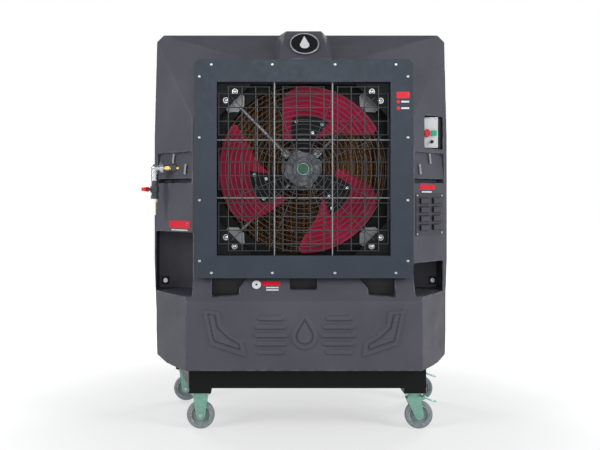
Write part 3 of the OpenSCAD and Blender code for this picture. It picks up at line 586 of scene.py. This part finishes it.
def revolve(bm, profile, centre, steps=72):
    """Turns a closed outline of (radius, y) about the Y axis through centre."""
    rings = []
    for s in range(steps):
        a = 2 * math.pi * s / steps
        rings.append([bm.verts.new((centre[0] + r * math.cos(a), centre[1] + y,
                                    centre[2] + r * math.sin(a))) for r, y in profile])
    for a, b in zip(rings, rings[1:] + rings[:1]):
        for i in range(len(profile)):
            j = (i + 1) % len(profile)
            bm.faces.new((a[i], a[j], b[j], b[i]))


def make_wheel(body, joint):
    centre = JOINTS[joint]["pos_m"]
    low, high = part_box("wheel_" + "_".join(body.split("_")[:2]))
    radius = (high.z - low.z) / 2
    bm = bmesh.new()
    half = 0.019
    crown = [(0.0545, -half + 0.003), (0.058, -half), (radius - 0.010, -half),
             (radius - 0.0045, -half + 0.0022), (radius - 0.0012, -half + 0.0065),
             (radius, -0.006), (radius, 0.006)]
    crown += [(r, -y) for r, y in reversed(crown[:5])]
    revolve(bm, crown, centre, 96)
    place(body + "_tread", bm, "grey_wheel", body, ("wheel_" + "_".join(body.split("_")[:2]),))
    bm = bmesh.new()
    bore = 0.00605
    core = [(bore, -0.021), (0.0155, -0.021), (0.017, -0.019), (0.0185, -0.0115), (0.022, -0.0100),
            (0.043, -0.0100), (0.046, -0.0115), (0.048, -0.0165), (0.0495, -0.0178), (0.0548, -0.0172)]
    core += [(r, -y) for r, y in reversed(core)]
    revolve(bm, core, centre, 64)
    place(body + "_core", bm, "grey_wheel", body)


for body, joint in (("front_left_wheel", "front_left_roll"), ("rear_left_wheel", "rear_left_roll"),
                    ("front_right_wheel", "front_right_roll"), ("rear_right_wheel", "rear_right_roll")):
    make_wheel(body, joint)

# ---- blank labels: a coloured field over pale rows, with nothing written on them


def plate_points(points, thickness, to_world, name, slot_name):
    """A thin plate with the given outline, raised along the local -y."""
    bm = bmesh.new()
    back = [bm.verts.new((x, 0, z)) for x, z in points]
    face = bm.faces.new(back)
    made = bmesh.ops.extrude_face_region(bm, geom=[face])["geom"]
    for v in made:
        if isinstance(v, bmesh.types.BMVert):
            v.co.y -= thickness
    bmesh.ops.recalc_face_normals(bm, faces=bm.faces)
    bm.transform(to_world)
    return place(name, bm, slot_name, "cabinet", smooth=False)


def rounded(width, height, radius, steps=5):
    """A rectangle with rounded corners, centred on its frame."""
    points = []
    for cx, cz, start in ((1, 1, 0), (-1, 1, 90), (-1, -1, 180), (1, -1, 270)):
        for i in range(steps + 1):
            a = math.radians(start + 90 * i / steps)
            points.append((cx * (width / 2 - radius) + radius * math.cos(a),
                           cz * (height / 2 - radius) + radius * math.sin(a)))
    return points


def label(name, to_world, parts):
    """parts lists (slot, x, z, width, height) on the label's own plane."""
    for k, (slot_name, x, z, width, height) in enumerate(parts):
        radius = min(width, height) * (0.48 if abs(width - height) < 1e-6 else 0.16)
        where = to_world @ Matrix.Translation((x, 0, z))
        plate_points(rounded(width, height, radius), 0.0006, where, f"{name}_{k}", slot_name)


frame_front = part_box("outlet_frame")[0].y - 0.0004
label("frame_label", Matrix.Translation((0.522, frame_front, 1.756)), [
    ("red_plastic", 0, 0.026, 0.070, 0.034),
    ("red_plastic", -0.025, -0.009, 0.018, 0.018), ("white_plastic", 0.011, -0.009, 0.042, 0.009),
    ("red_plastic", -0.025, -0.043, 0.018, 0.018), ("white_plastic", 0.011, -0.043, 0.042, 0.009),
])
label("left_label", facet_frame(-1, -0.060, 1.098), [
    ("red_plastic", 0, 0, 0.178, 0.040), ("white_plastic", 0.000, -0.030, 0.140, 0.006),
    ("white_plastic", 0.066, 0.0, 0.022, 0.022),
])
label("right_label", facet_frame(1, -0.040, 1.300), [
    ("red_plastic", 0, 0, 0.150, 0.026), ("white_plastic", -0.006, -0.026, 0.100, 0.008),
])
band_lean = math.atan2(0.075, 0.1195)
sloping_band = Matrix.Translation((-0.176, -0.3745, 0.789)) @ Matrix.Rotation(-band_lean, 4, "X")
label("tank_label", sloping_band, [
    ("red_plastic", 0.004, 0, 0.100, 0.024), ("white_plastic", 0.012, -0.023, 0.066, 0.007),
    ("white_plastic", 0.012, -0.037, 0.066, 0.007),
])

# ---- badge: a pale rim and a plain drop on the black oval


def make_badge():
    low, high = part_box("badge")
    centre = (low + high) / 2
    lean = math.atan2(0.119, 0.1685)
    to_world = Matrix.Translation(centre) @ Matrix.Rotation(-lean, 4, "X")
    bm = bmesh.new()
    ring = [(0.0715, 0.0002), (0.0715, -0.0062), (0.0735, -0.0078), (0.0765, -0.0078),
            (0.0782, -0.0062), (0.0782, 0.0002)]
    rings = []
    for k in range(96):
        a = 2 * math.pi * k / 96
        rings.append([bm.verts.new((r * math.cos(a), y, r * math.sin(a))) for r, y in ring])
    for a, b in zip(rings, rings[1:] + rings[:1]):
        for i in range(len(ring)):
            j = (i + 1) % len(ring)
            bm.faces.new((a[i], b[i], b[j], a[j]))
    bm.transform(to_world)
    place("badge_rim", bm, "galvanised", "cabinet")
    r = 0.025
    drop = [(r * math.cos(math.radians(a)), r * math.sin(math.radians(a)) - 0.014)
            for a in range(-210, 31, 10)]
    drop.append((0.0, 0.052))
    face = to_world @ Matrix.Translation((0, -0.0068, 0))
    plate_points(drop, 0.0018, face, "badge_drop", "white_plastic")


make_badge()

# ---- crisp mouldings on the tank's front, and near-black plates in the notches above it as painted shade

TANK_FRONT = -0.430
RELIEF = 0.0084           # height of the mouldings
NOTCH_SHADE = (-0.348, -0.3105)  # front and back of the painted-shade plates, in y


def outline_plate(name, points, slot_name, front, back, bevel=0.0):
    """A plate with an outline in X and Z, in millimetres, from front to back in Y."""
    bm = bmesh.new()
    face = bm.faces.new([bm.verts.new((x * MM, back, z * MM)) for x, z in points])
    for v in bmesh.ops.extrude_face_region(bm, geom=[face])["geom"]:
        if isinstance(v, bmesh.types.BMVert):
            v.co.y = front
    bmesh.ops.recalc_face_normals(bm, faces=bm.faces)
    plate = place(name, bm, slot_name, "cabinet", smooth=False)
    if bevel:
        edge = plate.modifiers.new("edge", "BEVEL")
        edge.width = bevel
        edge.segments = 3
        edge.angle_limit = math.radians(50)
    return plate


def band(outer, inner):
    """An outline with a hole, as one outline cut open at its first points."""
    return outer + outer[:1] + inner[:1] + inner[:0:-1] + inner[:1]


def drop_outline(r, steps=28):
    points = [(3 + r * math.cos(a), 520 + r * math.sin(a))
              for a in (math.radians(150 + 240 * i / steps) for i in range(steps + 1))]
    return points + [(3, 520 + 2 * r)]


def rib_outline(side, row):
    near, length, r = 100 + 6 * row * row, 150 - 10 * row * row, 11
    z = 528 + 44 * row
    ends = ((near, 90), (near + length, 270))
    return [(3 + side * (x + r * math.cos(math.radians(start + 18 * i))),
             z + r * math.sin(math.radians(start + 18 * i))) for x, start in ends for i in range(11)]


def make_mouldings():
    rim = [(-525, 658), (-442, 648), (-430, 578), (-385, 530), (-318, 494), (-306, 416), (-486, 476)]
    lip = [(-506, 641), (-459, 635), (-446, 571), (-396, 518), (-334, 483), (-325, 441), (-474, 490)]
    core = [(-494, 629), (-471, 626), (-458, 564), (-403, 508), (-345, 474), (-341, 458), (-466, 500)]
    front, back = TANK_FRONT - RELIEF, TANK_FRONT + 0.002
    shapes = {"drop_core": drop_outline(36), "drop_rim": band(drop_outline(64), drop_outline(50))}
    for side, word in ((1, "left"), (-1, "right")):
        shapes["swoosh_core_" + word] = [(side * x, z) for x, z in core]
        shapes["swoosh_rim_" + word] = [(side * x, z) for x, z in band(rim, lip)]
        for row in range(-2, 3):
            shapes[f"rib_{word}_{row + 3}"] = rib_outline(-side, row)
    for name, points in shapes.items():
        bevel = 0.0016 if "rim" not in name else 0.0
        dress(outline_plate(name, points, "moulded_pe", front, back, bevel), "moulded_relief")
    # near-black plates in the notches: painted shade, for notches that are dark only from shadow
    notch = [(341, 733), (481, 723.5), (481, 834), (287.5, 834), (341, 765)]
    outline_plate("notch_shade_right", notch, "black_rubber", *NOTCH_SHADE)
    outline_plate("notch_shade_left", [(-x, z) for x, z in notch], "black_rubber", *NOTCH_SHADE)
    outline_plate("notch_shade_middle", [(-71, 759), (71, 759), (71, 834), (-71, 834)], "black_rubber", *NOTCH_SHADE)


make_mouldings()

# ---- a black disc as painted shade in the drain cap's hole, and the pale ring around the fan's cap


def make_cap_details():
    r = 0.0058
    dot = [(r * math.cos(math.radians(a)), r * math.sin(math.radians(a))) for a in range(0, 360, 15)]
    drain = Matrix.Translation((-0.248, -0.3792, 0.781)) @ Matrix.Rotation(-band_lean, 4, "X")
    # the black disc is painted shade, standing in for the dark inside the drain cap's hole
    plate_points(dot, 0.0024, drain @ Matrix.Translation((0, -0.0062, 0)), "drain_hole_shade", "black_rubber")
    bm = bmesh.new()
    ring = [(0.0284, -0.3452), (0.0284, -0.3474), (0.0290, -0.3480), (0.0302, -0.3480),
            (0.0308, -0.3474), (0.0308, -0.3452)]
    revolve(bm, ring, (0, 0, FAN_Z), 64)
    place("cap_ring", bm, "white_plastic", "fan")


make_cap_details()

# ---------------------------------------------------------------- stage and light


def make_stage():
    bm = bmesh.new()
    bmesh.ops.create_grid(bm, x_segments=1, y_segments=1, size=30)
    mesh = bpy.data.meshes.new("floor")
    bm.to_mesh(mesh)
    bm.free()
    floor = bpy.data.objects.new("floor", mesh)
    floor.location.z = CAD_BOX[0].z - 0.0005
    bpy.context.scene.collection.objects.link(floor)
    pale = Shader("pale_floor", (0.30, 0.30, 0.30), 0.8, Emission_Color=(1, 1, 1, 1),
                  Specular_IOR_Level=0.0)
    reach = pale.node("ShaderNodeVectorMath", operation="LENGTH")
    pale.link(pale.coords, reach.inputs[0])
    glow = pale.node("ShaderNodeMapRange", interpolation_type="SMOOTHSTEP")
    glow.inputs["From Min"].default_value = 0.9
    glow.inputs["From Max"].default_value = 3.2
    glow.inputs["To Min"].default_value = 0.55
    glow.inputs["To Max"].default_value = 1.0
    pale.link(reach.outputs["Value"], glow.inputs["Value"])
    pale.link(glow.outputs["Result"], pale.bsdf.inputs["Emission Strength"])
    floor.data.materials.append(pale.mat)


def area_light(name, place_at, aim, size, power):
    data = bpy.data.lights.new(name, "AREA")
    data.shape = "RECTANGLE"
    data.size, data.size_y = size
    data.energy = power
    light = bpy.data.objects.new(name, data)
    light.location = place_at
    light.rotation_euler = (Vector(aim) - Vector(place_at)).to_track_quat("-Z", "Y").to_euler()
    bpy.context.scene.collection.objects.link(light)


make_stage()
area_light("left", (-4.4, -3.0, 2.9), (0, -0.2, 1.3), (1.6, 3.0), 170)
area_light("right", (4.4, -3.0, 2.9), (0, -0.2, 1.3), (1.6, 3.0), 185)
area_light("front", (0.3, -6.2, 2.6), (0, 0, 1.2), (3.2, 2.2), 80)
area_light("rear_left", (-3.5, 4.2, 2.9), (0, 0.3, 1.2), (2.0, 2.6), 130)
area_light("rear_right", (3.5, 4.2, 2.9), (0, 0.3, 1.2), (2.0, 2.6), 130)


def make_world():
    """A dim studio that lights the object, seen by the camera as a white backdrop."""
    world = bpy.data.worlds.new("studio")
    world.use_nodes = True
    tree = world.node_tree
    room = tree.nodes["Background"]
    room.inputs["Color"].default_value = (0.93, 0.96, 1.0, 1)
    room.inputs["Strength"].default_value = 0.42
    backdrop = tree.nodes.new("ShaderNodeBackground")
    backdrop.inputs["Color"].default_value = (1, 1, 1, 1)
    backdrop.inputs["Strength"].default_value = 1.0
    rays = tree.nodes.new("ShaderNodeLightPath")
    choose = tree.nodes.new("ShaderNodeMixShader")
    tree.links.new(rays.outputs["Is Camera Ray"], choose.inputs["Fac"])
    tree.links.new(room.outputs[0], choose.inputs[1])
    tree.links.new(backdrop.outputs[0], choose.inputs[2])
    tree.links.new(choose.outputs[0], tree.nodes["World Output"].inputs["Surface"])
    bpy.context.scene.world = world


make_world()
